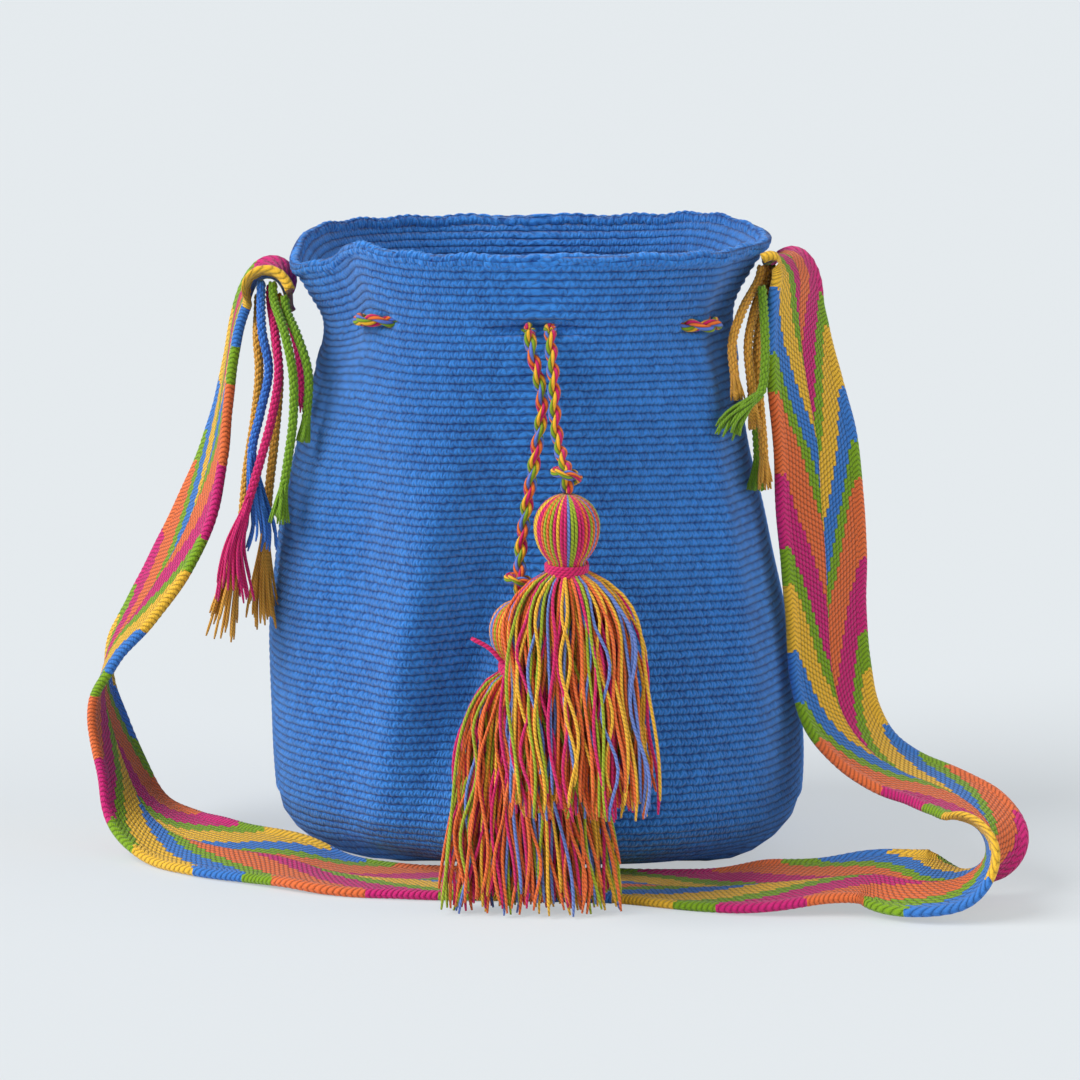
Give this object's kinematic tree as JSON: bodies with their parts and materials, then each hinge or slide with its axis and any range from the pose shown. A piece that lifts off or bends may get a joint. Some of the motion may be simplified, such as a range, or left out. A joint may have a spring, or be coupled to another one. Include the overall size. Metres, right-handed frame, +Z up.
{
  "type": "crocheted bucket bag",
  "caption": "Round-based crocheted bucket bag with an open mouth, a drawstring ending in tassels, and a woven shoulder strap sewn on at both sides.",
  "frame": {"origin": "middle of the bag's round base, on the floor", "axes": "+Z up, -Y towards the front with the tassels, +X to the right as seen from the front"},
  "size_m": [0.4401, 0.2698, 0.293],
  "materials": {
    "bag_cotton": "matte",
    "strap_weave": "matte",
    "drawstring_cord": "matte",
    "tassel_yarn": "matte",
    "binding_yarn": "matte",
    "tie_green": "matte",
    "tie_pink": "matte",
    "tie_blue": "matte",
    "tie_gold": "matte"
  },
  "bodies": {
    "bag": {"bag_body": "bag_cotton", "drawstring_lacing": "drawstring_cord", "strap_band": "strap_weave", "left_tie_green_long": "tie_green", "left_tie_green_short": "tie_green", "left_tie_pink_short": "tie_pink", "left_tie_pink_long": "tie_pink", "left_tie_blue": "tie_blue", "left_tie_gold_long": "tie_gold", "left_tie_gold_short": "tie_gold", "right_tie_gold_front": "tie_gold", "right_tie_gold_second": "tie_gold", "right_tie_gold_third": "tie_gold", "right_tie_gold_back": "tie_gold", "right_tie_green_front": "tie_green", "right_tie_green_back": "tie_green"},
    "lower_tassel": {"drawstring_lower_end": "drawstring_cord", "lower_tassel_hank": "tassel_yarn", "lower_tassel_binding": "binding_yarn", "lower_tassel_yarn_tail": "binding_yarn"},
    "upper_tassel": {"drawstring_upper_end": "drawstring_cord", "upper_tassel_hank": "tassel_yarn", "upper_tassel_binding": "binding_yarn"}
  },
  "joints": [
    {"name": "lower_tassel_swing", "type": "hinge", "parent": "bag", "child": "lower_tassel", "pos_m": [0, -0.0847, 0.25665], "axis": [-1, 0, 0], "range_deg": [0, 85]},
    {"name": "upper_tassel_swing", "type": "hinge", "parent": "lower_tassel", "child": "upper_tassel", "pos_m": [0, -0.0847, 0.25665], "axis": [-1, 0, 0], "range_deg": [0, 60]}
  ]
}
